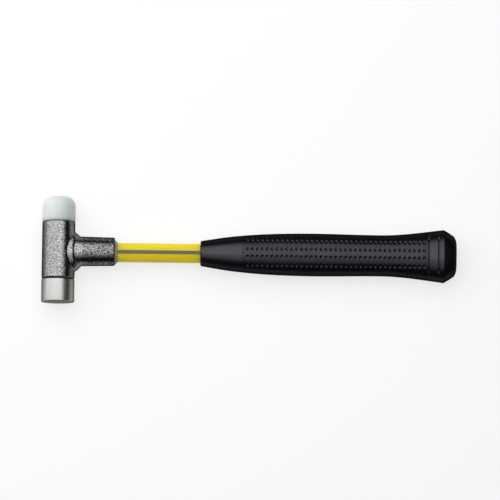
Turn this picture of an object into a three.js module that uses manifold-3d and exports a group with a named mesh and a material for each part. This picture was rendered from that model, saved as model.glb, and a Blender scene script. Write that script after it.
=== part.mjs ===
// Dead blow hammer with two screw-in striking tips and a shot-filled head.
// Millimetres, +Z up. The hammer lies on its side: +X runs along the handle to the butt,
// +Y along the head from the steel tip to the nylon tip. The origin is the centre of the steel face.
import * as THREE from "three";
import { mergeVertices } from "three/addons/utils/BufferGeometryUtils.js";
import Module from "manifold-3d";

// Driving dimensions. Reaches are counted from the point where the head's and the handle's axes cross.
const overallLength = 317.5;

// Head tube. Its middle is offset from the handle's axis towards the nylon tip.
const headDiameter = 25.4;
const headTubeLength = 43.8;
const headOffset = 1.3;
const headRimChamfer = 0.5;

// Collar that runs from the head tube into the handle socket. The roll sets how late its drop begins.
const collarHeight = 30.2;
const collarThickness = 21;
const collarStraightReach = 12.4;
const collarReach = 17.75;
const collarDrop = 4.4;
const collarRoll = 1.5;

// Handle socket, oval outside and round inside. Its outside is offset from the bore towards the nylon tip.
const socketReach = 43.3;
const socketOffset = 0.55;
const socketRootHeight = 23.5;
const socketMouthHeight = 21.9;
const socketThickness = 19;
const socketEdgeRadius = 1.2;
const socketFloorWeb = 3;

// Striking tips. The nylon one has a lip that hides its washer.
const tipDiameter = 25.4;
const nylonReach = 42.7;
const nylonCrownRadius = 8;
const nylonLipWall = 1.2;
const nylonLipGap = 0.15;
const steelReach = 38.65;
const steelEdgeRadius = 0.6;

// Screw spigots: six turns of a sixteen-per-inch thread, drawn here as plain cylinders
const spigotDiameter = 19.05;
const threadPitch = 1.5875;
const threadTurns = 6;
const spigotChamfer = 0.8;
const threadClearance = 0.15;

// Washers under the tips
const sealThickness = 0.7;
const sealInset = 0.35;
const sealClearance = 0.1;

// Shot and its canister
const shotDiameter = 4.76;
const shotLayers = 3;
const shotPerRing = 6;
const shotClearance = 0.3;
const canisterWall = 0.8;
const canisterClearance = 0.2;
const lidFlange = 0.8;
const lidLip = 1;
const lidClearance = 0.1;

// Shaft and its two inlaid stripes
const shaftDiameter = 15;
const shaftEndClearance = 0.3;
const stripeWidth = 2.5;
const stripeDepth = 0.9;
const stripeClearance = 0.15;

// Resin between shaft and socket, with the fillet that stands out of the mouth
const bondThickness = 0.5;
const bondClearance = 0.1;
const filletLength = 1.8;

// Grip. Its oval sections are counted from the butt end.
const gripLength = 196.1;
const gripClearance = 0.15;
const gripEndCover = 8.5;
const noseHeight = 19.8;
const noseThickness = 19;
const noseEdgeRadius = 1.6;
const neckFromButt = 172;
const neckHeight = 26.7;
const neckThickness = 21.4;
const shoulderFromButt = 144;
const shoulderHeight = 31.3;
const shoulderThickness = 23.4;
const swellFromButt = 110;
const swellHeight = 32.9;
const swellThickness = 24;
const waistFromButt = 57;
const waistHeight = 31.7;
const waistThickness = 23;
const flareFromButt = 38.6;
const flareHeight = 33.8;
const flareThickness = 23.6;
const rimFromButt = 9.85;
const rimHeight = 40.9;
const rimThickness = headDiameter;
const buttBevelLength = 7.9;
const buttBevelInset = 5.05;
const buttFlatShare = 0.45;
const grooveFromButt = [21.4, 13.7];
const grooveWidth = 1.5;
const grooveDepth = 0.8;
const grooveWall = 0.35;
const gripStep = 11;

// Dimples in both faces of the grip, at a third of their real number along it
const dimpleFirstFromButt = 160;
const dimpleLastFromButt = 24.8;
const dimpleColumns = 13;
const dimpleRows = 4;
const dimpleRowPitch = 6.05;
const dimpleLength = 2.2;
const dimpleWidth = 2.6;
const dimpleDepth = 0.7;
const dimpleFloorShare = 0.45;

// Facets round a full turn
const roundFacets = 44;
const gripFacets = 40;
const arcFacets = 6;

// Sizes that follow from the ones above
const headRadius = headDiameter / 2;
const tipRadius = tipDiameter / 2;
const rimReach = headTubeLength / 2;
const threadEngagement = threadPitch * threadTurns;
const spigotRadius = spigotDiameter / 2;
const threadBoreRadius = spigotRadius + threadClearance;
const shotRingRadius = shotDiameter + shotClearance;
const canisterBoreRadius = shotRingRadius + shotDiameter / 2 + shotClearance;
const canisterRadius = canisterBoreRadius + canisterWall;
const headBoreRadius = canisterRadius + canisterClearance;
const chamberReach = rimReach - threadEngagement;
const canisterReach = chamberReach - canisterClearance;
const seatReach = rimReach + sealThickness + 2 * sealClearance;
const nylonLipRadius = tipRadius - nylonLipWall;
const shaftRadius = shaftDiameter / 2;
const bondInnerRadius = shaftRadius + bondClearance;
const bondOuterRadius = bondInnerRadius + bondThickness;
const socketBoreRadius = bondOuterRadius + bondClearance;
const socketFloorReach = headBoreRadius + socketFloorWeb;
const buttReach = overallLength - headRadius;
const noseReach = buttReach - gripLength;
const shaftStart = socketFloorReach + shaftEndClearance;
const shaftEnd = buttReach - gripEndCover;

const wasm = await Module();
wasm.setup();

// Turns a closed geometry into a solid that can be joined and cut.
function solidOf(geometry) {
  const bare = geometry.clone();
  bare.deleteAttribute("normal");
  bare.deleteAttribute("uv");
  const merged = mergeVertices(bare, 1e-4);
  return new wasm.Manifold(
    new wasm.Mesh({
      numProp: 3,
      vertProperties: new Float32Array(merged.attributes.position.array),
      triVerts: new Uint32Array(merged.index.array),
    }),
  );
}

// Turns a solid back into a geometry.
function geometryOf(solid) {
  const mesh = solid.getMesh();
  const geometry = new THREE.BufferGeometry();
  geometry.setAttribute("position", new THREE.BufferAttribute(mesh.vertProperties, 3));
  geometry.setIndex(new THREE.BufferAttribute(mesh.triVerts, 1));
  geometry.computeVertexNormals();
  return geometry;
}

// Revolves a path of (radius, height) points about Y. Arcs in a path get two facets for each division.
function revolve(path) {
  return new THREE.LatheGeometry(path.getPoints(arcFacets / 2), roundFacets);
}

// A closed path through corner points.
function polygonPath(corners) {
  const path = new THREE.Path(corners.map(([radius, height]) => new THREE.Vector2(radius, height)));
  path.closePath();
  return path;
}

// A straight round bar along Y, from one height to another.
function bar(radius, from, to) {
  return revolve(
    polygonPath([
      [0, from],
      [radius, from],
      [radius, to],
      [0, to],
    ]),
  );
}

// Skins oval sections along Z and closes both ends with flat fans.
function loft(sections, facets) {
  const positions = [];
  const indices = [];
  for (const { along, height, thickness } of sections) {
    for (let facet = 0; facet < facets; facet += 1) {
      const angle = (facet / facets) * 2 * Math.PI;
      positions.push((thickness / 2) * Math.cos(angle), (height / 2) * Math.sin(angle), along);
    }
  }
  const lastRing = (sections.length - 1) * facets;
  const startCentre = positions.length / 3;
  const endCentre = startCentre + 1;
  positions.push(0, 0, sections[0].along);
  positions.push(0, 0, sections[sections.length - 1].along);
  for (let facet = 0; facet < facets; facet += 1) {
    const next = (facet + 1) % facets;
    for (let ring = 0; ring < lastRing; ring += facets) {
      const above = ring + facets;
      indices.push(ring + facet, ring + next, above + next);
      indices.push(ring + facet, above + next, above + facet);
    }
    indices.push(startCentre, next, facet);
    indices.push(endCentre, lastRing + facet, lastRing + next);
  }
  const geometry = new THREE.BufferGeometry();
  geometry.setAttribute("position", new THREE.Float32BufferAttribute(positions, 3));
  geometry.setIndex(indices);
  geometry.computeVertexNormals();
  return geometry;
}

// Lays a head geometry made along Z along the handle, at a height above the handle's axis.
function alongHandle(geometry, above) {
  return geometry.rotateY(Math.PI / 2).translate(0, above - headOffset, 0);
}

function finish(color, roughness, metalness) {
  return new THREE.MeshStandardMaterial({ color, roughness, metalness });
}

function part(name, geometry, material) {
  const mesh = new THREE.Mesh(geometry, material);
  mesh.name = name;
  return mesh;
}

// Head: the tube, the collar and the oval socket are one casting, bored from both ends and from the mouth.
// It is made about the middle of its tube.
function headTube() {
  const outline = polygonPath([
    [0, -rimReach],
    [headRadius - headRimChamfer, -rimReach],
    [headRadius, -rimReach + headRimChamfer],
    [headRadius, rimReach - headRimChamfer],
    [headRadius - headRimChamfer, rimReach],
    [0, rimReach],
  ]);
  return revolve(outline);
}

// The collar's oval draws in evenly all round until it lies inside the socket.
function collar() {
  const sections = [{ along: 0, height: collarHeight, thickness: collarThickness }];
  for (let step = 0; step <= arcFacets; step += 1) {
    const share = step / arcFacets;
    const inset = 2 * collarDrop * share ** collarRoll;
    sections.push({
      along: collarStraightReach + (collarReach - collarStraightReach) * share,
      height: collarHeight - inset,
      thickness: collarThickness - inset,
    });
  }
  return alongHandle(loft(sections, roundFacets), 0);
}

function socket() {
  const sections = [{ along: 0, height: socketRootHeight, thickness: socketThickness }];
  for (let step = 0; step <= arcFacets; step += 1) {
    const angle = (step / arcFacets) * (Math.PI / 2);
    const inset = 2 * socketEdgeRadius * (1 - Math.cos(angle));
    sections.push({
      along: socketReach - socketEdgeRadius * (1 - Math.sin(angle)),
      height: socketMouthHeight - inset,
      thickness: socketThickness - inset,
    });
  }
  return alongHandle(loft(sections, roundFacets), socketOffset);
}

function headBore() {
  const outline = polygonPath([
    [0, -2 * rimReach],
    [threadBoreRadius, -2 * rimReach],
    [threadBoreRadius, -chamberReach],
    [headBoreRadius, -chamberReach],
    [headBoreRadius, chamberReach],
    [threadBoreRadius, chamberReach],
    [threadBoreRadius, 2 * rimReach],
    [0, 2 * rimReach],
  ]);
  return revolve(outline);
}

function socketBore() {
  return alongHandle(bar(socketBoreRadius, socketFloorReach, 2 * socketReach).rotateX(Math.PI / 2), 0);
}

function headBody() {
  const casting = solidOf(headTube())
    .add(solidOf(collar()))
    .add(solidOf(socket()))
    .subtract(solidOf(headBore()))
    .subtract(solidOf(socketBore()));
  return part("head_body", geometryOf(casting), finish(0x4a4b4c, 0.35, 0.6));
}

// Tips stand on their shoulder: the spigot hangs below height 0 and the striking end rises above it.
function tipPath(spigotReach) {
  const path = new THREE.Path();
  path.moveTo(0, -spigotReach);
  path.lineTo(spigotRadius - spigotChamfer, -spigotReach);
  path.lineTo(spigotRadius, -spigotReach + spigotChamfer);
  path.lineTo(spigotRadius, 0);
  return path;
}

// The striking end: a cylinder up to its height, with a rounded edge.
function addStrikingEnd(path, height, edgeRadius) {
  path.lineTo(tipRadius, height - edgeRadius);
  path.absarc(tipRadius - edgeRadius, height - edgeRadius, edgeRadius, 0, Math.PI / 2);
  path.lineTo(0, height);
}

const spigotReach = seatReach - chamberReach;

function nylonTip() {
  const lipDepth = seatReach - rimReach - nylonLipGap;
  const path = tipPath(spigotReach);
  path.lineTo(nylonLipRadius, 0);
  path.lineTo(nylonLipRadius, -lipDepth);
  path.lineTo(tipRadius, -lipDepth);
  addStrikingEnd(path, nylonReach - headOffset - seatReach, nylonCrownRadius);
  const tip = part("nylon_tip", revolve(path), finish(0xe3e9e6, 0.45, 0));
  tip.position.y = seatReach;
  return tip;
}

function steelTip() {
  const path = tipPath(spigotReach);
  path.lineTo(tipRadius, 0);
  addStrikingEnd(path, steelReach + headOffset - seatReach, steelEdgeRadius);
  const tip = part("steel_tip", revolve(path), finish(0xb9b9b4, 0.3, 1));
  tip.rotation.x = Math.PI;
  tip.position.y = -seatReach;
  return tip;
}

function seal(name, from, outerRadius) {
  const outline = polygonPath([
    [threadBoreRadius, from],
    [outerRadius, from],
    [outerRadius, from + sealThickness],
    [threadBoreRadius, from + sealThickness],
    [threadBoreRadius, from],
  ]);
  return part(name, revolve(outline), finish(0x111111, 0.8, 0));
}

// Canister: a drawn cup whose mouth faces the nylon tip, and a lid with a lip that fits inside the cup.
const cupMouth = canisterReach - lidFlange - lidClearance;
const cupFloor = -canisterReach + canisterWall;

function shotCanister() {
  const outline = polygonPath([
    [0, -canisterReach],
    [canisterRadius, -canisterReach],
    [canisterRadius, cupMouth],
    [canisterBoreRadius, cupMouth],
    [canisterBoreRadius, cupFloor],
    [0, cupFloor],
  ]);
  return part("shot_canister", revolve(outline), finish(0x9fa3a6, 0.35, 1));
}

function canisterLid() {
  const lipRadius = canisterBoreRadius - lidClearance;
  const flangeFloor = canisterReach - lidFlange;
  const outline = polygonPath([
    [0, flangeFloor - lidLip],
    [lipRadius, flangeFloor - lidLip],
    [lipRadius, flangeFloor],
    [canisterRadius, flangeFloor],
    [canisterRadius, canisterReach],
    [0, canisterReach],
  ]);
  return part("canister_lid", revolve(outline), finish(0x9fa3a6, 0.35, 1));
}

// Shot lies at the steel end in layers: one ball in the middle and a ring round it, every second ring turned.
function shot() {
  const group = new THREE.Group();
  const pitch = shotDiameter + shotClearance;
  group.position.y = cupFloor + shotClearance + shotDiameter / 2;
  let count = 0;
  for (let layer = 0; layer < shotLayers; layer += 1) {
    const halfStep = ((layer % 2) * Math.PI) / shotPerRing;
    for (let place = 0; place <= shotPerRing; place += 1) {
      const radius = place === 0 ? 0 : shotRingRadius;
      const angle = (place / shotPerRing) * 2 * Math.PI + halfStep;
      count += 1;
      const ball = part(
        `shot_${String(count).padStart(2, "0")}`,
        new THREE.IcosahedronGeometry(shotDiameter / 2, 1),
        finish(0x8d9094, 0.25, 1),
      );
      ball.position.set(radius * Math.cos(angle), layer * pitch, radius * Math.sin(angle));
      group.add(ball);
    }
  }
  return group;
}

// Shaft: a round bar with a slot along its front and its back for the stripes.
function shaftSection() {
  const halfSlot = stripeWidth / 2 + stripeClearance;
  const edgeAngle = Math.asin(halfSlot / shaftRadius);
  const floor = shaftRadius - stripeDepth - stripeClearance;
  const section = new THREE.Shape();
  section.absarc(0, 0, shaftRadius, edgeAngle, Math.PI - edgeAngle);
  section.lineTo(-floor, halfSlot);
  section.lineTo(-floor, -halfSlot);
  section.absarc(0, 0, shaftRadius, Math.PI + edgeAngle, 2 * Math.PI - edgeAngle);
  section.lineTo(floor, -halfSlot);
  section.lineTo(floor, halfSlot);
  section.closePath();
  return section;
}

function stripeSection() {
  const edgeAngle = Math.asin(stripeWidth / 2 / shaftRadius);
  const floor = shaftRadius - stripeDepth;
  const section = new THREE.Shape();
  section.moveTo(floor, -stripeWidth / 2);
  section.absarc(0, 0, shaftRadius, -edgeAngle, edgeAngle);
  section.lineTo(floor, stripeWidth / 2);
  section.closePath();
  return section;
}

function drawAlongShaft(section, curveSegments) {
  const depth = shaftEnd - shaftStart;
  return new THREE.ExtrudeGeometry(section, { depth, curveSegments, bevelEnabled: false });
}

function handleShaft() {
  const geometry = drawAlongShaft(shaftSection(), roundFacets / 4);
  const shaft = part("handle_shaft", geometry, finish(0xe3c728, 0.4, 0));
  shaft.position.z = shaftStart;
  return shaft;
}

function shaftStripe(name, turn) {
  const geometry = drawAlongShaft(stripeSection(), 2);
  const stripe = part(name, geometry, finish(0x6e6a56, 0.5, 0));
  stripe.rotation.z = turn;
  stripe.position.z = shaftStart;
  return stripe;
}

// Resin: a thin sleeve in the socket, and a fillet that runs from the socket's end face down to the shaft.
function handleBond() {
  const filletBack = socketReach + bondClearance;
  const filletEnd = filletBack + filletLength;
  const filletSections = [
    {
      along: filletBack,
      height: socketMouthHeight - 2 * socketEdgeRadius,
      thickness: socketThickness - 2 * socketEdgeRadius,
    },
    { along: filletEnd, height: 2 * bondOuterRadius, thickness: 2 * bondOuterRadius },
  ];
  const sleeve = bar(bondOuterRadius, shaftStart, filletEnd - filletLength / 2).rotateX(Math.PI / 2);
  const bore = bar(bondInnerRadius, 0, 2 * filletEnd).rotateX(Math.PI / 2);
  const resin = solidOf(sleeve)
    .add(solidOf(loft(filletSections, roundFacets)))
    .subtract(solidOf(bore));
  return part("handle_bond", geometryOf(resin), finish(0xb9a993, 0.6, 0));
}

// The grip's oval at any distance from the butt, on a smooth curve through its named sections.
const gripSections = [
  { along: gripLength - noseEdgeRadius, height: noseHeight, thickness: noseThickness },
  { along: neckFromButt, height: neckHeight, thickness: neckThickness },
  { along: shoulderFromButt, height: shoulderHeight, thickness: shoulderThickness },
  { along: swellFromButt, height: swellHeight, thickness: swellThickness },
  { along: waistFromButt, height: waistHeight, thickness: waistThickness },
  { along: flareFromButt, height: flareHeight, thickness: flareThickness },
  { along: rimFromButt, height: rimHeight, thickness: rimThickness },
];

function slopeAt(index, size) {
  const before = gripSections[Math.max(index - 1, 0)];
  const after = gripSections[Math.min(index + 1, gripSections.length - 1)];
  return (after[size] - before[size]) / (after.along - before.along);
}

function gripSizeAt(fromButt, size) {
  let index = 0;
  while (index < gripSections.length - 2 && gripSections[index + 1].along > fromButt) index += 1;
  const start = gripSections[index];
  const end = gripSections[index + 1];
  const span = end.along - start.along;
  const share = (fromButt - start.along) / span;
  const rest = 1 - share;
  const startSlope = slopeAt(index, size) * span;
  const endSlope = slopeAt(index + 1, size) * span;
  return (
    rest * rest * (start[size] * (1 + 2 * share) + startSlope * share) +
    share * share * (end[size] * (1 + 2 * rest) - endSlope * rest)
  );
}

function gripOval(fromButt, inset) {
  return {
    along: buttReach - fromButt,
    height: gripSizeAt(fromButt, "height") - 2 * inset,
    thickness: gripSizeAt(fromButt, "thickness") - 2 * inset,
  };
}

// Sections along the sleeve, with four more for the two walls of each ring groove.
function sleeveSections() {
  const from = gripLength - noseEdgeRadius;
  const steps = Math.round((from - rimFromButt) / gripStep);
  const inGroove = (place) => grooveFromButt.some((centre) => Math.abs(place - centre) <= grooveWidth / 2);
  const sections = [];
  for (let step = 0; step <= steps; step += 1) {
    const fromButt = from + ((rimFromButt - from) * step) / steps;
    if (!inGroove(fromButt)) sections.push(gripOval(fromButt, 0));
  }
  for (const centre of grooveFromButt) {
    sections.push(gripOval(centre + grooveWidth / 2, 0));
    sections.push(gripOval(centre + grooveWidth / 2 - grooveWall, grooveDepth));
    sections.push(gripOval(centre - grooveWidth / 2 + grooveWall, grooveDepth));
    sections.push(gripOval(centre - grooveWidth / 2, 0));
  }
  return sections.sort((one, other) => one.along - other.along);
}

function noseSections() {
  const sections = [];
  for (let step = 0; step < arcFacets / 2; step += 1) {
    const angle = (step / (arcFacets / 2)) * (Math.PI / 2);
    const inset = 2 * noseEdgeRadius * (1 - Math.sin(angle));
    sections.push({
      along: noseReach + noseEdgeRadius * (1 - Math.cos(angle)),
      height: noseHeight - inset,
      thickness: noseThickness - inset,
    });
  }
  return sections;
}

// Behind the rim the butt is bevelled, then rounds over to a flat end.
function buttSections() {
  const bevelHeight = rimHeight - 2 * buttBevelInset;
  const bevelThickness = bevelHeight * (rimThickness / rimHeight);
  const roundLength = rimFromButt - buttBevelLength;
  const sections = [];
  for (let step = 0; step <= arcFacets; step += 1) {
    const rest = 1 - step / arcFacets;
    const share = buttFlatShare + (1 - buttFlatShare) * rest;
    sections.push({
      along: buttReach - roundLength * rest ** 2,
      height: bevelHeight * share,
      thickness: bevelThickness * share,
    });
  }
  return sections;
}

// A pocket for one dimple, square to the grip's surface. It narrows from above the surface to the dimple's floor.
function dimple(fromButt, above, turn) {
  const { along, height, thickness } = gripOval(fromButt, 0);
  const outward = (thickness / 2) * Math.sqrt(1 - ((2 * above) / height) ** 2);
  const tilt = Math.atan2(above / height ** 2, outward / thickness ** 2);
  const floorRadius = dimpleFloorShare * Math.SQRT1_2;
  const openRadius = (2 - dimpleFloorShare) * Math.SQRT1_2;
  return new THREE.CylinderGeometry(openRadius, floorRadius, 2, 4)
    .rotateY(Math.PI / 4)
    .scale(dimpleWidth, dimpleDepth, dimpleLength)
    .rotateZ(tilt - Math.PI / 2)
    .translate(outward, above, along)
    .rotateZ(turn);
}

function dimples() {
  const pitch = (dimpleFirstFromButt - dimpleLastFromButt) / (dimpleColumns - 1);
  const pockets = [];
  for (const turn of [0, Math.PI]) {
    for (let row = 0; row < dimpleRows; row += 1) {
      const above = (row - (dimpleRows - 1) / 2) * dimpleRowPitch;
      for (let column = 0; column < dimpleColumns; column += 1) {
        pockets.push(solidOf(dimple(dimpleFirstFromButt - column * pitch, above, turn)));
      }
    }
  }
  return wasm.Manifold.union(pockets);
}

function grip() {
  const sleeve = solidOf(loft([...noseSections(), ...sleeveSections(), ...buttSections()], gripFacets));
  const boreEnd = shaftEnd + shaftEndClearance;
  const bore = bar(shaftRadius + gripClearance, noseReach - gripLength, boreEnd).rotateX(Math.PI / 2);
  const moulded = sleeve.subtract(solidOf(bore)).subtract(dimples());
  return part("grip", geometryOf(moulded), finish(0x161718, 0.6, 0));
}

// The handle's pieces are made along their own Z, and the group lays that axis along +X.
const handle = new THREE.Group();
handle.rotation.y = Math.PI / 2;
handle.add(handleShaft());
handle.add(shaftStripe("shaft_stripe_front", Math.PI));
handle.add(shaftStripe("shaft_stripe_rear", 0));
handle.add(handleBond());
handle.add(grip());

const head = new THREE.Group();
head.add(headBody());
head.add(nylonTip());
head.add(steelTip());
head.add(seal("nylon_tip_seal", rimReach + sealClearance, nylonLipRadius - sealClearance));
head.add(seal("steel_tip_seal", -rimReach - sealClearance - sealThickness, tipRadius - sealInset));
head.add(shotCanister());
head.add(canisterLid());
head.add(shot());

// The axes cross one steel reach above the steel face.
const hammer = new THREE.Group();
head.position.y = steelReach + headOffset;
handle.position.y = steelReach;
hammer.add(head);
hammer.add(handle);

export default hammer;
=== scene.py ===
"""Looks of a dead blow hammer: fine meshes, finishes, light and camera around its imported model.

Metres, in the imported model's frame: +X runs along the handle to the butt, +Y along the head from the
steel tip to the nylon tip, and +Z points at the camera.
"""
import math

import bmesh
import bpy
import numpy as np
from mathutils import Matrix, Vector

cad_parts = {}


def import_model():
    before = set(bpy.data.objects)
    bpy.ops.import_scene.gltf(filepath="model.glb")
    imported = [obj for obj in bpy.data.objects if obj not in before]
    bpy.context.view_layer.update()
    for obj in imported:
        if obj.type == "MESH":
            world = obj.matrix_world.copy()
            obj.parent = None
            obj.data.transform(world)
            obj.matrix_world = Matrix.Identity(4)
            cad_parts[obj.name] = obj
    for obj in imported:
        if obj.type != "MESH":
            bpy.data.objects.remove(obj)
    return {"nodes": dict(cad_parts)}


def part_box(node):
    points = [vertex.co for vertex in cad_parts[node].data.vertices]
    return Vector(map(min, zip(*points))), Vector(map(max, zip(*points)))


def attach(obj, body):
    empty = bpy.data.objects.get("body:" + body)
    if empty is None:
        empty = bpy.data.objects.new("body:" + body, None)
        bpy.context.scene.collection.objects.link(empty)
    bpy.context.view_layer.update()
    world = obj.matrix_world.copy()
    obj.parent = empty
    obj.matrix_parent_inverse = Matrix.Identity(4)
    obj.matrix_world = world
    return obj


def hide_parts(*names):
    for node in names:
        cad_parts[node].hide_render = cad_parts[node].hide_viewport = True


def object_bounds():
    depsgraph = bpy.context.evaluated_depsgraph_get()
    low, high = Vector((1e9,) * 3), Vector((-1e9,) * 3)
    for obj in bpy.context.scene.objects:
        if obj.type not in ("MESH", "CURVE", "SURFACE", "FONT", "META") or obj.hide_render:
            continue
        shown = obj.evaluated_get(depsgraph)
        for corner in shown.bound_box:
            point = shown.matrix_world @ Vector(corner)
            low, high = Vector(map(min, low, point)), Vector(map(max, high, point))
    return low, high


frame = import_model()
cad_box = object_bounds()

MM = 0.001
FULL_TURN = 2 * math.pi

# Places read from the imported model
head_low, head_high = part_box("head_body")
nylon_low, nylon_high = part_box("nylon_tip")
steel_low, steel_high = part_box("steel_tip")
nylon_seal_low, nylon_seal_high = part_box("nylon_tip_seal")
steel_seal_low, steel_seal_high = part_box("steel_tip_seal")
canister_low, canister_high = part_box("shot_canister")
lid_low, lid_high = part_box("canister_lid")
shaft_low, shaft_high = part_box("handle_shaft")
bond_low, bond_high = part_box("handle_bond")
grip_low, grip_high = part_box("grip")

HANDLE_Y = (shaft_low.y + shaft_high.y) / 2
HEAD_RADIUS = head_high.z
TIP_RADIUS = nylon_high.z
SHAFT_RADIUS = shaft_high.z
BUTT_X = grip_high.x
NOSE_X = grip_low.x
FLOOR_Z = cad_box[0][2]

# Head casting
RIM_ROUND = 0.7 * MM
COLLAR_HEIGHT = 30.2 * MM
COLLAR_THICKNESS = 21.0 * MM
COLLAR_STRAIGHT_REACH = 12.4 * MM
COLLAR_REACH = 17.75 * MM
COLLAR_DROP = 4.4 * MM
COLLAR_ROLL = 1.5
COLLAR_FACE_SHIFT = 2.0 * MM
SOCKET_OFFSET = 0.55 * MM
SOCKET_ROOT_HEIGHT = 23.5 * MM
SOCKET_MOUTH_HEIGHT = 21.9 * MM
SOCKET_THICKNESS = 19.0 * MM
SOCKET_EDGE_RADIUS = 1.2 * MM
SOCKET_FLOOR_REACH = 11.74 * MM
SOCKET_BORE_RADIUS = 8.2 * MM
CHAMBER_RADIUS = 8.74 * MM
THREAD_BORE_RADIUS = 9.675 * MM
THREAD_DEPTH_IN_HEAD = 9.525 * MM
PAINT_VOXEL = 0.4 * MM
PAINT_FLOW_ROUNDS = 8
PAINT_LAND = 1.9 * MM
PAINT_LAND_BLUR = 0.4 * MM
# Distance past the collar over which the paint turns darker on the socket
SOCKET_DARKENS_OVER = 2.0 * MM
FLAKE_CELLS_PER_METRE = 1900
FLAKE_WARP = 0.6 * MM
FLAKE_DEPTH = 0.2 * MM

# Tips and their threads
SEAL_GAP = 0.1 * MM
SPIGOT_RADIUS = 9.525 * MM
THREAD_PITCH = 1.5875 * MM
THREAD_DEPTH = 0.85 * MM
THREAD_ROWS_PER_TURN = 12
THREAD_CREST_SHARE = 0.12
THREAD_FLANK_SHARE = 0.76
SPIGOT_CHAMFER = 1.12 * MM
NYLON_CROWN_RADIUS = 8 * MM
NYLON_SHOULDER_ROUND = 0.2 * MM
NYLON_LIP_GAP = 0.15 * MM
NYLON_LIP_CLEARANCE = 0.1 * MM
STEEL_EDGE_ROUND = 0.6 * MM
STEEL_SHOULDER_ROUND = 0.2 * MM

# Canister and shot
CANISTER_WALL = 0.8 * MM
LID_FLANGE = 0.8 * MM
LID_LIP_RADIUS = 7.64 * MM
LID_EDGE_ROUND = 0.2 * MM
SHOT_SQUEEZE = (1, 0.985, 0.995)

# Shaft
STRIPE_WIDTH = 2.5 * MM
STRIPE_DEPTH = 0.9 * MM
STRIPE_GAP = 0.06 * MM
SHAFT_RINGS = 24

# Resin round the shaft
BOND_GAP = 0.1 * MM
FILLET_HOLLOW = 1.3

# Grip: distance from the butt, height and thickness of the ovals that its outline passes through
FROM_BUTT, HEIGHT, THICKNESS = range(3)
RIM_FROM_BUTT = 9.85 * MM
GRIP_OVALS = [
    (194.5 * MM, 19.8 * MM, 19.0 * MM),
    (172.0 * MM, 26.7 * MM, 21.4 * MM),
    (144.0 * MM, 31.3 * MM, 23.4 * MM),
    (110.0 * MM, 32.9 * MM, 24.0 * MM),
    (57.0 * MM, 31.7 * MM, 23.0 * MM),
    (38.6 * MM, 33.8 * MM, 23.6 * MM),
    (RIM_FROM_BUTT, 40.9 * MM, 25.4 * MM),
]
NOSE_EDGE_RADIUS = 1.6 * MM
NOSE_INNER_ROUND = 0.4 * MM
BUTT_BEVEL_END = 1.95 * MM
BUTT_BEVEL_INSET = 5.05 * MM
BUTT_BULGE = 0.2 * MM
BUTT_FLAT_SHARE = 0.62
GROOVES_FROM_BUTT = (21.4 * MM, 13.7 * MM)
GROOVE_WIDTH = 1.5 * MM
GROOVE_DEPTH = 0.8 * MM
GROOVE_HALF_LENGTH = 13.9 * MM
GROOVE_END = 1.4 * MM
GROOVE_WALL_SHARE = 0.5
GRIP_BORE_RADIUS = 7.65 * MM
GRIP_BORE_END = 8.2 * MM

# Dimples pressed into the front and the back of the grip
DIMPLE_PITCH = 3.756 * MM
DIMPLE_COUNT = 37
DIMPLE_FIRST_X = 144.8 * MM
DIMPLE_ROW_PITCH = 6.05 * MM
DIMPLE_ROWS = 4
DIMPLE_LENGTH = 2.2 * MM
DIMPLE_WIDTH = 2.6 * MM
DIMPLE_DEPTH = 0.7 * MM
DIMPLE_SQUARENESS = 2.4
DIMPLE_WALL_SHARE = 0.55
TEXTURE_FIRST_X = 140.3 * MM
TEXTURE_LAST_X = 282.0 * MM
TEXTURE_BLUR = 0.5 * MM
CELLS_PER_PITCH = 12
CELLS_PER_ROW_PITCH = 16
FACE_MARGIN_ROWS = 0.05
FACE_ANGLE = math.radians(58)
SPINE_CELLS = 22
NECK_RINGS = 36
RIM_RINGS = 96


# Meshes

def new_object(name, points, faces):
    """An object in the scene from points and faces, with its faces turned outwards."""
    mesh = bpy.data.meshes.new(name)
    mesh.from_pydata(points, [], faces)
    turned = bmesh.new()
    turned.from_mesh(mesh)
    bmesh.ops.recalc_face_normals(turned, faces=turned.faces)
    turned.to_mesh(mesh)
    turned.free()
    made = bpy.data.objects.new(name, mesh)
    bpy.context.scene.collection.objects.link(made)
    return made


def smooth(made, angle=35):
    """Shades an object smoothly, apart from edges sharper than the angle in degrees."""
    made.data.shade_smooth()
    made.data.set_sharp_from_angle(angle=math.radians(angle))
    return made


def skin(name, rings, loop=False):
    """Joins rings of points into one closed surface. A loop joins the last ring to the first one."""
    rings = np.asarray(rings)
    count, around = rings.shape[:2]
    points = rings.reshape(-1, 3).tolist()
    faces = []
    for ring in range(count if loop else count - 1):
        here = ring * around
        there = (ring + 1) % count * around
        for column in range(around):
            beside = (column + 1) % around
            faces.append((here + column, here + beside, there + beside, there + column))
    if not loop:
        for ring in (0, count - 1):
            centre = len(points)
            points.append(rings[ring].mean(axis=0).tolist())
            for column in range(around):
                beside = (column + 1) % around
                faces.append((centre, ring * around + column, ring * around + beside))
    return new_object(name, points, faces)


def rounded_path(corners, steps=6):
    """A path through corners (radius, along, rounding), each rounded off by an arc."""
    path = []
    for index, (radius, along, rounding) in enumerate(corners):
        corner = Vector((radius, along))
        if rounding == 0:
            path.append(corner)
            continue
        before = (Vector(corners[index - 1][:2]) - corner).normalized()
        after = (Vector(corners[(index + 1) % len(corners)][:2]) - corner).normalized()
        half_angle = before.angle(after) / 2
        centre = corner + (before + after).normalized() * rounding / math.sin(half_angle)
        reach = rounding / math.tan(half_angle)
        start = corner + before * reach - centre
        end = corner + after * reach - centre
        sweep = math.atan2(start.x * end.y - start.y * end.x, start.dot(end))
        for step in range(steps + 1):
            turn = Matrix.Rotation(sweep * step / steps, 2)
            path.append(centre + turn @ start)
    return path


def even_angles(around):
    return np.arange(around) / around * FULL_TURN


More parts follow.
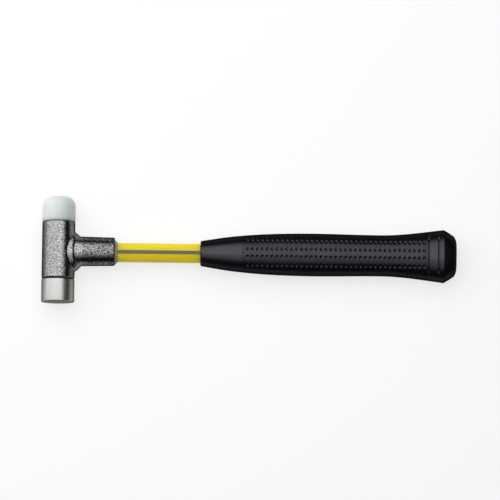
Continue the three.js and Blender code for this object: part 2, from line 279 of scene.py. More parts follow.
def head_ring(radii, along, around):
    """A ring about the head's axis. The radius is one number or one for each column."""
    angles = even_angles(around)
    radii = np.broadcast_to(radii, around)
    return np.stack([radii * np.sin(angles), np.full(around, along), radii * np.cos(angles)], axis=1)


def handle_ring(half_height, half_thickness, along, angles, above=0):
    """An oval ring about the handle's axis, or with its middle above that axis."""
    high = HANDLE_Y + above + half_height * np.sin(angles)
    along = np.broadcast_to(along, len(angles))
    return np.stack([along, high, half_thickness * np.cos(angles)], axis=1)


def turned_about_head(name, corners, around=128, loop=False):
    """Revolves a rounded path about the head's axis."""
    rings = [head_ring(p.x, p.y, around) for p in rounded_path(corners)]
    return smooth(skin(name, rings, loop))


def turned_about_handle(name, corners, around=128):
    """Revolves a rounded path about the handle's axis."""
    angles = even_angles(around)
    rings = [handle_ring(p.x, p.x, p.y, angles) for p in rounded_path(corners)]
    return smooth(skin(name, rings))


def settled(made):
    """Applies an object's modifiers."""
    graph = bpy.context.evaluated_depsgraph_get()
    mesh = bpy.data.meshes.new_from_object(made.evaluated_get(graph))
    made.modifiers.clear()
    made.data = mesh
    return made


def combine(made, others, operation):
    """Joins other objects to one, or cuts them out of it, and removes them."""
    for other in others:
        modifier = made.modifiers.new(operation.lower(), "BOOLEAN")
        modifier.operation = operation
        modifier.solver = "EXACT"
        modifier.object = other
    settled(made)
    for other in others:
        bpy.data.objects.remove(other)
    return made


# Head

def collar_rings(angles, steps=24):
    """The collar draws in evenly, and sooner on its two faces than on its two flanks."""
    rings = [handle_ring(COLLAR_HEIGHT / 2, COLLAR_THICKNESS / 2, 0, angles)]
    sooner = COLLAR_FACE_SHIFT * np.cos(angles) ** 2
    for step in range(steps + 1):
        share = step / steps
        drop = COLLAR_DROP * share ** COLLAR_ROLL
        along = COLLAR_STRAIGHT_REACH + (COLLAR_REACH - COLLAR_STRAIGHT_REACH) * share
        half_height = COLLAR_HEIGHT / 2 - drop
        half_thickness = COLLAR_THICKNESS / 2 - drop
        rings.append(handle_ring(half_height, half_thickness, along - sooner, angles))
    return rings


def socket_rings(angles, steps=10):
    """The socket tapers to its mouth, whose outer edge is rounded."""
    mouth = head_high.x
    rings = [handle_ring(SOCKET_ROOT_HEIGHT / 2, SOCKET_THICKNESS / 2, 0, angles, SOCKET_OFFSET)]
    for step in range(steps + 1):
        turn = step / steps * math.pi / 2
        inset = SOCKET_EDGE_RADIUS * (1 - math.cos(turn))
        rings.append(handle_ring(
            SOCKET_MOUTH_HEIGHT / 2 - inset,
            SOCKET_THICKNESS / 2 - inset,
            mouth - SOCKET_EDGE_RADIUS * (1 - math.sin(turn)),
            angles,
            SOCKET_OFFSET,
        ))
    return rings


def painted_head():
    """The casting: tube, collar and socket flow into each other under thick paint."""
    angles = even_angles(144)
    tube = turned_about_head("painted_head", [
        (0, head_low.y, 0),
        (HEAD_RADIUS, head_low.y, RIM_ROUND),
        (HEAD_RADIUS, head_high.y, RIM_ROUND),
        (0, head_high.y, 0),
    ], around=160)
    collar = skin("collar", collar_rings(angles))
    socket = skin("socket", socket_rings(angles))
    combine(tube, [collar, socket], "UNION")
    past_rim = HEAD_RADIUS
    past_mouth = 2 * head_high.x
    bore = turned_about_head("bore", [
        (0, head_low.y - past_rim, 0),
        (THREAD_BORE_RADIUS, head_low.y - past_rim, 0),
        (THREAD_BORE_RADIUS, head_low.y + THREAD_DEPTH_IN_HEAD, 0),
        (CHAMBER_RADIUS, head_low.y + THREAD_DEPTH_IN_HEAD, 0),
        (CHAMBER_RADIUS, head_high.y - THREAD_DEPTH_IN_HEAD, 0),
        (THREAD_BORE_RADIUS, head_high.y - THREAD_DEPTH_IN_HEAD, 0),
        (THREAD_BORE_RADIUS, head_high.y + past_rim, 0),
        (0, head_high.y + past_rim, 0),
    ])
    socket_bore = turned_about_handle("socket_bore", [
        (0, SOCKET_FLOOR_REACH, 0),
        (SOCKET_BORE_RADIUS, SOCKET_FLOOR_REACH, 0),
        (SOCKET_BORE_RADIUS, past_mouth, 0),
        (0, past_mouth, 0),
    ])
    combine(tube, [bore, socket_bore], "DIFFERENCE")
    remesh = tube.modifiers.new("remesh", "REMESH")
    remesh.mode = "VOXEL"
    remesh.voxel_size = PAINT_VOXEL
    flow = tube.modifiers.new("flow", "SMOOTH")
    flow.iterations = PAINT_FLOW_ROUNDS
    settled(tube)
    tube.data.shade_smooth()
    return tube


# Tips

def thread_rings(start, end, free_end, around):
    """Rings of a right-hand thread from one height to another, cut back to a cone at the free end."""
    angles = even_angles(around)
    rows = round(abs(end - start) / THREAD_PITCH * THREAD_ROWS_PER_TURN)
    rings = []
    for row in range(rows + 1):
        along = start + (end - start) * row / rows
        phase = (along / THREAD_PITCH - angles / FULL_TURN) % 1
        flank = np.clip((np.abs(2 * phase - 1) - THREAD_CREST_SHARE) / THREAD_FLANK_SHARE, 0, 1)
        radii = SPIGOT_RADIUS - THREAD_DEPTH * flank
        cone = SPIGOT_RADIUS - SPIGOT_CHAMFER + abs(along - free_end)
        rings.append(head_ring(np.minimum(radii, cone), along, around))
    return rings


def nylon_tip(around=144):
    """Threaded spigot, then a lip that covers the washer, then the rounded crown."""
    seat = nylon_seal_high.y + SEAL_GAP
    lip_low = head_high.y + NYLON_LIP_GAP
    lip_inside = nylon_seal_high.z + NYLON_LIP_CLEARANCE
    crown = [
        (lip_inside, seat, 0),
        (lip_inside, lip_low, 0),
        (TIP_RADIUS, lip_low, NYLON_SHOULDER_ROUND),
        (TIP_RADIUS, nylon_high.y, NYLON_CROWN_RADIUS),
        (0, nylon_high.y, 0),
    ]
    path = rounded_path([(SPIGOT_RADIUS - THREAD_DEPTH, seat, 0)] + crown, steps=16)
    rings = thread_rings(nylon_low.y, seat, nylon_low.y, around)
    rings += [head_ring(p.x, p.y, around) for p in path]
    return smooth(skin("nylon_striking_tip", rings))


def steel_tip(around=144):
    """Threaded spigot, then a plain drum with a flat face."""
    seat = steel_seal_low.y - SEAL_GAP
    face = [
        (TIP_RADIUS, seat, STEEL_SHOULDER_ROUND),
        (TIP_RADIUS, steel_low.y, STEEL_EDGE_ROUND),
        (0, steel_low.y, 0),
    ]
    path = rounded_path([(SPIGOT_RADIUS - THREAD_DEPTH, seat, 0)] + face, steps=10)
    rings = thread_rings(steel_high.y, seat, steel_high.y, around)
    rings += [head_ring(p.x, p.y, around) for p in path]
    return smooth(skin("steel_striking_tip", rings))


def seal(name, low, high):
    """A flat washer with rounded edges, as large as the box of its node."""
    edge = (high.y - low.y) / 3
    return turned_about_head(name, [
        (THREAD_BORE_RADIUS, low.y, edge / 2),
        (high.z, low.y, edge),
        (high.z, high.y, edge),
        (THREAD_BORE_RADIUS, high.y, edge / 2),
    ], loop=True)


# Canister and shot

def shot_canister():
    wall = CANISTER_WALL
    return turned_about_head("drawn_canister", [
        (0, canister_low.y, 0),
        (canister_high.z, canister_low.y, wall),
        (canister_high.z, canister_high.y, wall / 4),
        (canister_high.z - wall, canister_high.y, wall / 4),
        (canister_high.z - wall, canister_low.y + wall, wall / 2),
        (0, canister_low.y + wall, 0),
    ])


def canister_lid():
    flange_low = lid_high.y - LID_FLANGE
    return turned_about_head("pressed_lid", [
        (0, lid_low.y, 0),
        (LID_LIP_RADIUS, lid_low.y, LID_EDGE_ROUND),
        (LID_LIP_RADIUS, flange_low, 0),
        (lid_high.z, flange_low, LID_EDGE_ROUND),
        (lid_high.z, lid_high.y, LID_EDGE_ROUND),
        (0, lid_high.y, 0),
    ])


def shot_nodes():
    """Names of the balls' nodes: the word and a number."""
    first = "shot_"
    names = [name for name in frame["nodes"] if name.startswith(first)]
    return sorted(name for name in names if name[len(first):].isdigit())


def steel_shot():
    """All balls in one mesh, each a little out of round."""
    shapes = bmesh.new()
    for number, name in enumerate(shot_nodes()):
        low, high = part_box(name)
        centre = Matrix.Translation((low + high) / 2)
        turn = Matrix.Rotation(number, 4, Vector((1, number % 3, number % 5)).normalized())
        squeeze = Matrix.Diagonal((*SHOT_SQUEEZE, 1))
        radius = (high.y - low.y) / 2
        bmesh.ops.create_icosphere(shapes, subdivisions=3, radius=radius, matrix=centre @ turn @ squeeze)
    mesh = bpy.data.meshes.new("steel_shot")
    shapes.to_mesh(mesh)
    shapes.free()
    mesh.shade_smooth()
    made = bpy.data.objects.new("steel_shot", mesh)
    bpy.context.scene.collection.objects.link(made)
    return made


# Shaft

def shaft_angles(half_slot, around=120):
    """Angles of the two arcs between the slots, which are at the front and the back."""
    edge = math.asin(half_slot / SHAFT_RADIUS)
    arc = np.linspace(edge, math.pi - edge, around // 2)
    return arc, arc + math.pi


def shaft_arc(angles):
    """Points (forward, up) on the shaft's surface."""
    return [(SHAFT_RADIUS * math.cos(angle), SHAFT_RADIUS * math.sin(angle)) for angle in angles]


def along_shaft(name, section):
    """Runs a section of points (forward, up) along the whole shaft."""
    rings = []
    for along in np.linspace(shaft_low.x, shaft_high.x, SHAFT_RINGS):
        rings.append([(along, HANDLE_Y + up, forward) for forward, up in section])
    return smooth(skin(name, rings))


def handle_shaft():
    """A round rod with a slot for an inlay at the front and at the back."""
    half_slot = STRIPE_WIDTH / 2 + STRIPE_GAP
    slot_floor = SHAFT_RADIUS - STRIPE_DEPTH - STRIPE_GAP
    section = []
    for arc, side in zip(shaft_angles(half_slot), (-1, 1)):
        section += shaft_arc(arc)
        section.append((side * slot_floor, -side * half_slot))
        section.append((side * slot_floor, side * half_slot))
    return along_shaft("fibreglass_shaft", section)


def shaft_stripe(name, side):
    """An inlay, flush with the shaft's surface. The side is 1 at the front and -1 at the back."""
    half = STRIPE_WIDTH / 2
    edge = math.asin(half / SHAFT_RADIUS)
    inner = SHAFT_RADIUS - STRIPE_DEPTH
    section = shaft_arc(np.linspace(-edge, edge, 12)) + [(inner, half), (inner, -half)]
    return along_shaft(name, [(side * forward, up) for forward, up in section])


def handle_bond(steps=8):
    """Resin sleeve in the socket, with a hollow fillet from the socket's end face down to the shaft."""
    angles = even_angles(128)
    sleeve = SOCKET_BORE_RADIUS - BOND_GAP
    back = head_high.x + BOND_GAP
    inner = SHAFT_RADIUS + BOND_GAP
    corners = [(inner, bond_high.x), (inner, bond_low.x), (sleeve, bond_low.x), (sleeve, back)]
    rings = [handle_ring(radius, radius, along, angles) for radius, along in corners]
    half_height = (bond_high.y - bond_low.y) / 2
    half_thickness = bond_high.z
    for step in range(steps + 1):
        share = step / steps
        drop = 1 - (1 - share) ** FILLET_HOLLOW
        rings.append(handle_ring(
            half_height + (inner + BOND_GAP - half_height) * drop,
            half_thickness + (inner + BOND_GAP - half_thickness) * drop,
            back + (bond_high.x - back) * share,
            angles,
        ))
    return smooth(skin("resin_bead", rings, loop=True))


# Grip

def grip_size(from_butt, size):
    """Height or thickness of the grip, on a smooth curve through its named ovals."""
    index = 0
    while index < len(GRIP_OVALS) - 2 and GRIP_OVALS[index + 1][FROM_BUTT] > from_butt:
        index += 1

    def slope(number):
        before = GRIP_OVALS[max(number - 1, 0)]
        after = GRIP_OVALS[min(number + 1, len(GRIP_OVALS) - 1)]
        return (after[size] - before[size]) / (after[FROM_BUTT] - before[FROM_BUTT])

    start = GRIP_OVALS[index]
    end = GRIP_OVALS[index + 1]
    span = end[FROM_BUTT] - start[FROM_BUTT]
    share = (from_butt - start[FROM_BUTT]) / span
    rest = 1 - share
    rise = rest * rest * (start[size] * (1 + 2 * share) + slope(index) * span * share)
    fall = share * share * (end[size] * (1 + 2 * rest) - slope(index + 1) * span * rest)
    return rise + fall


def grip_columns():
    """Fixed heights of the grid lines on a face of the grip, as offsets from the handle's axis."""
    half = (DIMPLE_ROWS / 2 + FACE_MARGIN_ROWS) * DIMPLE_ROW_PITCH
    cells = round(2 * half / DIMPLE_ROW_PITCH * CELLS_PER_ROW_PITCH)
    return np.linspace(-half, half, cells + 1)


def grip_angles(half_height):
    """Angles round the grip: lines at fixed heights on both faces, even steps over both spines."""
    heights = grip_columns()
    largest = half_height * math.sin(FACE_ANGLE)
    heights = heights * min(1, largest / heights[-1])
    front = np.arcsin(heights / half_height)
    top = np.linspace(front[-1], math.pi - front[-1], SPINE_CELLS + 1)[1:-1]
    back = math.pi - front[::-1]
    bottom = np.linspace(back[-1], FULL_TURN + front[0], SPINE_CELLS + 1)[1:-1]
    return np.concatenate([front, top, back, bottom])


def dimple_depth(along, heights):
    """How deep the dimples are at a place along the handle, for each height from the axis."""
    nearest = np.clip(np.round((along - DIMPLE_FIRST_X) / DIMPLE_PITCH), 0, DIMPLE_COUNT - 1)
    off_along = (along - DIMPLE_FIRST_X - nearest * DIMPLE_PITCH) / (DIMPLE_LENGTH / 2)
    last_row = (DIMPLE_ROWS - 1) / 2
    row = np.clip(np.round(heights / DIMPLE_ROW_PITCH + last_row), 0, DIMPLE_ROWS - 1) - last_row
    off_across = (heights - row * DIMPLE_ROW_PITCH) / (DIMPLE_WIDTH / 2)
    power = DIMPLE_SQUARENESS
    away = (np.abs(off_along) ** power + np.abs(off_across) ** power) ** (1 / power)
    return DIMPLE_DEPTH * np.clip((1 - away) / DIMPLE_WALL_SHARE, 0, 1)


def groove_depth(from_butt, heights):
    """How deep the two grooves are at a distance from the butt, for each height from the axis."""
    deepest = 0
    for centre in GROOVES_FROM_BUTT:
        away = abs(from_butt - centre) / (GROOVE_WIDTH / 2)
        deepest = max(deepest, GROOVE_DEPTH * min(1, max(0, (1 - away) / GROOVE_WALL_SHARE)))
    return deepest * np.clip((GROOVE_HALF_LENGTH - np.abs(heights)) / GROOVE_END, 0, 1)


def sleeve_places():
    """Distances from the butt of the rings along the sleeve."""
    cell = DIMPLE_PITCH / CELLS_PER_PITCH
    first = BUTT_X - DIMPLE_FIRST_X + 2 * DIMPLE_PITCH
    last = BUTT_X - DIMPLE_FIRST_X - DIMPLE_PITCH * (DIMPLE_COUNT - 0.5)
    start = GRIP_OVALS[0][FROM_BUTT]
    neck = np.linspace(start, first, NECK_RINGS)[:-1]
    field = np.linspace(first, last, round((first - last) / cell) + 1)
    rim = np.linspace(last, RIM_FROM_BUTT, RIM_RINGS)[1:]
    return np.concatenate([neck, field, rim])


def nose_rings(inner_steps=4, outer_steps=8):
    """From the floor of the bore out to the nose, over its rounded lip and on to the first oval."""
    half_height = GRIP_OVALS[0][HEIGHT] / 2
    half_thickness = GRIP_OVALS[0][THICKNESS] / 2
    angles = grip_angles(half_height)
    rings = []
    for along in (BUTT_X - GRIP_BORE_END, (NOSE_X + BUTT_X) / 2, NOSE_X + NOSE_EDGE_RADIUS):
        rings.append(handle_ring(GRIP_BORE_RADIUS, GRIP_BORE_RADIUS, along, angles))
    for step in range(inner_steps + 1):
        turn = step / inner_steps * math.pi / 2
        radius = GRIP_BORE_RADIUS + NOSE_INNER_ROUND * (1 - math.cos(turn))
        along = NOSE_X + NOSE_INNER_ROUND * (1 - math.sin(turn))
        rings.append(handle_ring(radius, radius, along, angles))
    for step in range(outer_steps + 1):
        turn = step / outer_steps * math.pi / 2
        inset = NOSE_EDGE_RADIUS * (1 - math.sin(turn))
        along = NOSE_X + NOSE_EDGE_RADIUS * (1 - math.cos(turn))
        rings.append(handle_ring(half_height - inset, half_thickness - inset, along, angles))
    return rings


def sleeve_ring(from_butt):
    """An oval of the sleeve, with dimples and grooves sunk into it."""
    along = BUTT_X - from_butt
    half_height = grip_size(from_butt, HEIGHT) / 2
    half_thickness = grip_size(from_butt, THICKNESS) / 2
    angles = grip_angles(half_height)
    heights = half_height * np.sin(angles)
    sunk = dimple_depth(along, heights) + groove_depth(from_butt, heights)
    outward = np.stack([
        np.zeros(len(angles)),
        np.sin(angles) / half_height,
        np.cos(angles) / half_thickness,
    ], axis=1)
    outward /= np.linalg.norm(outward, axis=1, keepdims=True)
    return handle_ring(half_height, half_thickness, along, angles) - outward * sunk[:, None]


def butt_rings(steps=12):
    """From the rim down a slightly bulged bevel and over a rounded edge to the flat end."""
    rim_height = GRIP_OVALS[-1][HEIGHT] / 2
    rim_thickness = GRIP_OVALS[-1][THICKNESS] / 2
    flatness = rim_thickness / rim_height
    bevel_height = rim_height - BUTT_BEVEL_INSET
    bevel_thickness = rim_thickness - BUTT_BEVEL_INSET * flatness
    angles = grip_angles(rim_height)
    rings = []
    for step in range(1, steps):
        share = step / steps
        from_butt = RIM_FROM_BUTT + (BUTT_BEVEL_END - RIM_FROM_BUTT) * share
        bulge = BUTT_BULGE * math.sin(share * math.pi)
        rings.append(handle_ring(
            rim_height + (bevel_height - rim_height) * share + bulge,
            rim_thickness + (bevel_thickness - rim_thickness) * share + bulge * flatness,
            BUTT_X - from_butt,
            angles,
        ))
    for step in range(steps + 1):
        rest = 1 - step / steps
        share = BUTT_FLAT_SHARE + (1 - BUTT_FLAT_SHARE) * rest
        along = BUTT_X - BUTT_BEVEL_END * rest ** 2
        rings.append(handle_ring(bevel_height * share, bevel_thickness * share, along, angles))
    return rings


def rubber_grip():
    sleeve = [sleeve_ring(from_butt) for from_butt in sleeve_places()[1:]]
    return smooth(skin("rubber_grip", nose_rings() + sleeve + butt_rings()), angle=50)


# Finishes

class Finish:
    """A material in the making: adds nodes to it and joins them."""

    def __init__(self, name):
        self.material = bpy.data.materials.new(name)
        self.material.use_nodes = True
        self.tree = self.material.node_tree
        self.shader = self.tree.nodes["Principled BSDF"]
        self.place = self.add("ShaderNodeTexCoord").outputs["Object"]

    def put(self, socket, value):
        """Sets a socket to a value, or links another node's output to it."""
        if isinstance(value, bpy.types.NodeSocket):
            self.tree.links.new(value, socket)
        else:
            socket.default_value = value

    def add(self, kind, settings=None, **inputs):
        node = self.tree.nodes.new(kind)
        for name, value in (settings or {}).items():
            setattr(node, name, value)
        for name, value in inputs.items():
            self.put(node.inputs[name.replace("_", " ")], value)
        return node

    def set(self, **inputs):
        for name, value in inputs.items():
            self.put(self.shader.inputs[name.replace("_", " ")], value)

    def stretched(self, scale):
        """The piece's own coordinates, scaled along each axis."""
        return self.add("ShaderNodeMapping", Vector=self.place, Scale=scale).outputs["Vector"]

    def noise(self, scale, detail, vector=None):
        """Soft noise, with so many cells to the metre unless the coordinates are stretched."""
        node = self.add("ShaderNodeTexNoise", Vector=vector or self.place, Scale=scale, Detail=detail)
        return node.outputs["Fac"]

    def between(self, value, low, high, to_low=0.0, to_high=1.0):
        """Maps a range of a value to another range, and holds it inside."""
        node = self.add("ShaderNodeMapRange", Value=value)
        node.inputs["From Min"].default_value = low
        node.inputs["From Max"].default_value = high
        node.inputs["To Min"].default_value = to_low
        node.inputs["To Max"].default_value = to_high
        return node.outputs["Result"]

    def spread(self, noise, low, high):
        """Spreads the middle of a noise over a range."""
        return self.between(noise, 0.3, 0.7, low, high)

    def mix(self, share, first, second):
        """A number between two numbers."""
        return self.add("ShaderNodeMix", Factor=share, A=first, B=second).outputs[0]

    def blend(self, share, first, second):
        """A colour between two colours."""
        node = self.add("ShaderNodeMix", {"data_type": "RGBA"})
        self.put(node.inputs[0], share)
        self.put(node.inputs[6], first)
        self.put(node.inputs[7], second)
        return node.outputs[2]

    def maths(self, operation, first, second):
        node = self.add("ShaderNodeMath", {"operation": operation})
        self.put(node.inputs[0], first)
        self.put(node.inputs[1], second)
        return node.outputs[0]

    def film(self, tint):
        """A clear dark film, which dulls a surface most where it turns away from the eye."""
        self.set(Coat_Weight=1.0, Coat_IOR=1.02, Coat_Tint=tint)

    def bump(self, height, strength, distance):
        node = self.add("ShaderNodeBump", Height=height, Strength=strength, Distance=distance)
        self.set(Normal=node.outputs["Normal"])


def grey(level):
    return (level, level, level, 1)


def hammered_paint():
    """Silver flake paint, drawn up into small cells with dark seams.

    It has fewer, dimmer flakes on the socket, which makes the socket darker than the tube, and an even
    land next to the nylon tip.
    """
    finish = Finish("hammered_paint")
    drift = finish.add("ShaderNodeTexNoise", Vector=finish.place, Scale=700, Detail=1).outputs["Color"]
    warped = finish.add("ShaderNodeMix", {"data_type": "VECTOR"})
    finish.put(warped.inputs[0], FLAKE_WARP)
    finish.put(warped.inputs[4], finish.place)
    finish.put(warped.inputs[5], drift)
    coordinates = warped.outputs[1]
    cells = finish.add("ShaderNodeTexVoronoi", Vector=coordinates, Scale=FLAKE_CELLS_PER_METRE)
    chance = finish.add("ShaderNodeSeparateColor", Color=cells.outputs["Color"]).outputs["Red"]
    seam = finish.between(cells.outputs["Distance"], 0.3, 0.7, 1, 0.3)
    dense = finish.maths("MULTIPLY", finish.between(chance, 0, 0.9, 0.3, 1), seam)
    sparse = finish.maths("MULTIPLY", finish.between(chance, 0.1, 1, 0, 0.9), seam)
    spot = finish.add("ShaderNodeSeparateXYZ", Vector=finish.place).outputs
    # The socket is made darker than the tube: its flakes are fewer and dimmer there.
    socket_darker = finish.between(spot["X"], COLLAR_REACH, COLLAR_REACH + SOCKET_DARKENS_OVER)
    land_edge = head_high.y - PAINT_LAND
    land = finish.between(spot["Y"], land_edge - PAINT_LAND_BLUR, land_edge)
    flakes = finish.mix(land, finish.mix(socket_darker, dense, sparse), 0.45)
    finish.set(
        Base_Color=finish.blend(flakes, grey(0.04), grey(1.0)),
        Metallic=1.0,
        Roughness=finish.between(flakes, 0, 1, 0.17, 0.13),
        Specular_Tint=grey(0),
    )
    finish.film((0.55, 0.55, 0.562, 1))
    finish.bump(cells.outputs["Distance"], 0.4, FLAKE_DEPTH)
    return finish.material


def white_nylon():
    """Milky nylon that light sinks into, with faint turning marks."""
    finish = Finish("white_nylon")
    cloud = finish.noise(90, 4)
    marks = finish.noise(1, 3, vector=finish.stretched((260, 2600, 260)))
    finish.set(
        Base_Color=finish.blend(cloud, (0.61, 0.66, 0.645, 1), (0.64, 0.685, 0.67, 1)),
        Roughness=finish.spread(marks, 0.36, 0.48),
        Subsurface_Weight=1.0,
        Subsurface_Radius=(0.012, 0.012, 0.011),
        Subsurface_Scale=1.0,
    )
    finish.bump(marks, 0.12, 0.03 * MM)
    return finish.material


def bare_steel():
    """Turned steel: fine rings about the head's axis, under a trace of oil."""
    finish = Finish("bare_steel")
    rings = finish.noise(1, 4, vector=finish.stretched((120, 9000, 120)))
    stains = finish.noise(160, 3)
    finish.set(
        Base_Color=finish.blend(stains, (0.56, 0.555, 0.53, 1), (0.635, 0.63, 0.605, 1)),
        Metallic=1.0,
        Roughness=finish.spread(rings, 0.3, 0.42),
        Specular_Tint=grey(0.1),
    )
    finish.film(grey(0.71))
    finish.bump(rings, 0.25, 0.02 * MM)
    return finish.material


def plain_finish(name, low, high, roughness, scale, bump, metallic=0.0):
    """A grainy finish between two colours."""
    finish = Finish(name)
    grain = finish.noise(scale, 4)
    finish.set(
        Base_Color=finish.blend(grain, low, high),
        Roughness=finish.spread(grain, roughness - 0.06, roughness + 0.06),
        Metallic=metallic,
    )
    finish.bump(grain, bump, 0.1 * MM)
    return finish.material


def yellow_fibreglass():
    """Pultruded rod: glass strands run along it under a thin resin skin."""
    finish = Finish("yellow_fibreglass")
    strands = finish.noise(1, 4, vector=finish.stretched((14, 1500, 1500)))
    drift = finish.noise(1, 2, vector=finish.stretched((20, 260, 260)))
    shade = finish.blend(strands, (0.87, 0.635, 0.0115, 1), (0.94, 0.715, 0.019, 1))
    finish.set(
        Base_Color=finish.blend(finish.spread(drift, 0, 0.35), shade, (0.91, 0.7, 0.042, 1)),
        Roughness=finish.spread(strands, 0.38, 0.5),
        Specular_IOR_Level=0.4,
        Subsurface_Weight=1.0,
        Subsurface_Radius=(0.02, 0.014, 0.003),
        Subsurface_Scale=1.0,
    )
    finish.bump(strands, 0.2, 0.04 * MM)
    return finish.material


def black_rubber():
    """Moulded rubber with a waxy film, finely textured between the dimples."""
    finish = Finish("black_rubber")
    grain = finish.noise(2600, 3)
    bloom = finish.noise(70, 4)
    along = finish.add("ShaderNodeSeparateXYZ", Vector=finish.place).outputs["X"]
    textured = finish.maths(
        "MULTIPLY",
        finish.between(along, TEXTURE_FIRST_X, TEXTURE_FIRST_X + TEXTURE_BLUR),
        finish.between(along, TEXTURE_LAST_X, TEXTURE_LAST_X + TEXTURE_BLUR, 1, 0),
    )
    pebbles = finish.between(finish.noise(1300, 2), 0.35, 0.65, 0.26, 0.5)
    finish.set(
        Base_Color=finish.blend(bloom, (0.008, 0.008, 0.0095, 1), (0.014, 0.014, 0.016, 1)),
        Roughness=finish.spread(grain, 0.28, 0.36),
        IOR=3.8,
        Specular_IOR_Level=finish.mix(textured, 0.5, pebbles),
    )
    finish.film((0.134, 0.137, 0.155, 1))
    finish.bump(grain, 0.18, 0.05 * MM)
    return finish.material


# Assembly

def dress(piece, body, slot, material, *nodes):
    """Gives a piece its finish, the body it moves with and the nodes it stands for."""
    piece.data.materials.clear()
    piece.data.materials.append(material)
    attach(piece, body)
    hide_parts(*nodes)


washer_black = plain_finish(
    "black_washer", grey(0.008), grey(0.018), roughness=0.7, scale=1800, bump=0.2)
canister_steel = plain_finish(
    "canister_steel", grey(0.38), grey(0.5), roughness=0.32, scale=300, bump=0.1, metallic=1.0)
shot_steel = plain_finish(
    "shot_steel", grey(0.3), grey(0.42), roughness=0.24, scale=900, bump=0.15, metallic=1.0)
grey_inlay = plain_finish(
    "grey_inlay", (0.108, 0.098, 0.036, 1), (0.13, 0.118, 0.046, 1), roughness=0.5, scale=1400, bump=0.15)
bond_resin = plain_finish(
    "bond_resin", (0.24, 0.195, 0.125, 1), (0.30, 0.245, 0.165, 1), roughness=0.55, scale=900, bump=0.4)

dress(painted_head(), "hammer", "hammered_paint", hammered_paint(), "head_body")
dress(nylon_tip(), "nylon_tip", "white_nylon", white_nylon(), "nylon_tip")
dress(steel_tip(), "steel_tip", "bare_steel", bare_steel(), "steel_tip")
nylon_washer = seal("nylon_side_washer", nylon_seal_low, nylon_seal_high)
dress(nylon_washer, "nylon_washer", "black_washer", washer_black, "nylon_tip_seal")
steel_washer = seal("steel_side_washer", steel_seal_low, steel_seal_high)
dress(steel_washer, "steel_washer", "black_washer", washer_black, "steel_tip_seal")
dress(shot_canister(), "hammer", "canister_steel", canister_steel, "shot_canister")
dress(canister_lid(), "hammer", "canister_steel", canister_steel, "canister_lid")
dress(steel_shot(), "shot", "shot_steel", shot_steel, *shot_nodes())
dress(handle_shaft(), "hammer", "yellow_fibreglass", yellow_fibreglass(), "handle_shaft")
dress(shaft_stripe("front_inlay", 1), "hammer", "grey_inlay", grey_inlay, "shaft_stripe_front")
dress(shaft_stripe("rear_inlay", -1), "hammer", "grey_inlay", grey_inlay, "shaft_stripe_rear")
dress(handle_bond(), "hammer", "bond_resin", bond_resin, "handle_bond")
dress(rubber_grip(), "hammer", "black_rubber", black_rubber(), "grip")


# Floor, light and camera

FLOOR_SIZE = 12.0
FLOOR_GLOW = 0.72
WORLD_LEVEL = 0.03
STUDIO_HEIGHT = 0.9
STUDIO_LEFT = -0.9
STUDIO_RIGHT = 0.66
MAIN_LIGHT_BELOW = -0.12
MAIN_LIGHT_ABOVE = 1.24
MAIN_RADIANCE = 1.95
NEAR_LIGHT_BELOW = -0.62
NEAR_RADIANCE = 0.88
VIEW_WIDTH = 382.9 * MM
VIEW_DISTANCE = 4.4
VIEW_ELEVATION = math.radians(83.4)
VIEW_ROLL = math.radians(0.72)
VIEW_CENTRE_X = 146.66 * MM
VIEW_CENTRE_ABOVE_AXIS = 3.26 * MM


def floor():
    """White paper. Seen by itself or in a reflection it glows, which softens the shadow on it."""
    half = FLOOR_SIZE / 2
    made = new_object("floor", [
        (-half, -half, FLOOR_Z),
        (half, -half, FLOOR_Z),
        (half, half, FLOOR_Z),
        (-half, half, FLOOR_Z),
    ], [(0, 1, 2, 3)])
    finish = Finish("white_floor")
    paper = finish.noise(40, 4)
    path = finish.add("ShaderNodeLightPath").outputs
    seen = finish.maths("MAXIMUM", path["Is Camera Ray"], path["Is Glossy Ray"])
    seen = finish.maths("MAXIMUM", seen, path["Is Transmission Ray"])
    white = finish.blend(paper, grey(0.94), grey(0.96))
    finish.set(
        Base_Color=finish.blend(seen, white, grey(1 - FLOOR_GLOW)),
        Emission_Color=grey(1),
        Emission_Strength=finish.maths("MULTIPLY", seen, FLOOR_GLOW),
        Roughness=1.0,
        Specular_IOR_Level=0.0,
    )
    made.data.materials.append(finish.material)


def panel(name, middle, facing, width, height, radiance):
    """A lit panel of the studio, which the camera does not see."""
    data = bpy.data.lights.new(name, "AREA")
    data.shape = "RECTANGLE"
    data.size = width
    data.size_y = height
    data.energy = radiance * math.pi * width * height
    lamp = bpy.data.objects.new(name, data)
    lamp.location = middle
    lamp.rotation_euler = (-Vector(facing)).to_track_quat("Z", "Y").to_euler()
    lamp.visible_camera = False
    bpy.context.scene.collection.objects.link(lamp)


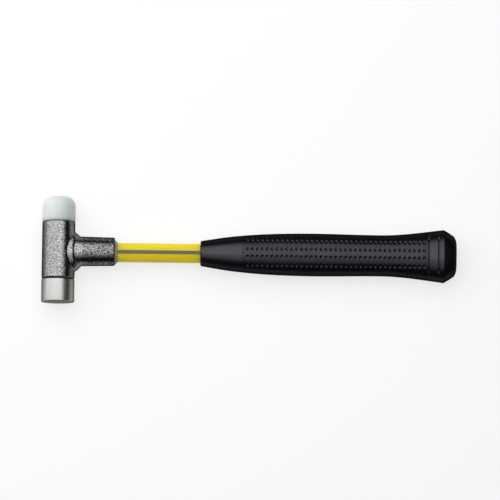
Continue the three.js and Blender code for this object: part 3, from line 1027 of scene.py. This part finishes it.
def world(level):
    """A dim, even surround."""
    made = bpy.data.worlds.new("studio")
    made.use_nodes = True
    made.node_tree.nodes["Background"].inputs["Color"].default_value = grey(level)
    bpy.context.scene.world = made


def camera():
    """Looks almost straight down on the hammer, from far off."""
    data = bpy.data.cameras.new("camera")
    data.lens = data.sensor_width * VIEW_DISTANCE / VIEW_WIDTH
    data.clip_end = 50
    made = bpy.data.objects.new("camera", data)
    away = Vector((0, -math.cos(VIEW_ELEVATION), math.sin(VIEW_ELEVATION)))
    right = Vector((1, 0, 0))
    up = away.cross(right)
    rolled = right * math.cos(VIEW_ROLL) + up * math.sin(VIEW_ROLL)
    axes = Matrix((rolled, away.cross(rolled), away)).transposed()
    centre = Vector((VIEW_CENTRE_X, HANDLE_Y + VIEW_CENTRE_ABOVE_AXIS, 0))
    made.matrix_world = Matrix.Translation(centre + away * VIEW_DISTANCE) @ axes.to_4x4()
    bpy.context.scene.collection.objects.link(made)
    bpy.context.scene.camera = made


def overhead(name, below, above, radiance):
    """A panel in the studio's ceiling, between two places below and above the handle's axis."""
    middle = ((STUDIO_LEFT + STUDIO_RIGHT) / 2, HANDLE_Y + (below + above) / 2, STUDIO_HEIGHT)
    panel(name, middle, (0, 0, -1), STUDIO_RIGHT - STUDIO_LEFT, above - below, radiance)


def left_wall():
    """A panel down the studio's left side, as long as the main light."""
    along = HANDLE_Y + (MAIN_LIGHT_BELOW + MAIN_LIGHT_ABOVE) / 2
    length = MAIN_LIGHT_ABOVE - MAIN_LIGHT_BELOW
    middle = (STUDIO_LEFT, along, STUDIO_HEIGHT / 2)
    panel("left_panel", middle, (1, 0, 0), length, STUDIO_HEIGHT, MAIN_RADIANCE)


floor()
world(WORLD_LEVEL)
overhead("overhead_panel", MAIN_LIGHT_BELOW, MAIN_LIGHT_ABOVE, MAIN_RADIANCE)
overhead("near_panel", NEAR_LIGHT_BELOW, MAIN_LIGHT_BELOW, NEAR_RADIANCE)
left_wall()
camera()
bpy.context.scene.view_settings.view_transform = "Standard"
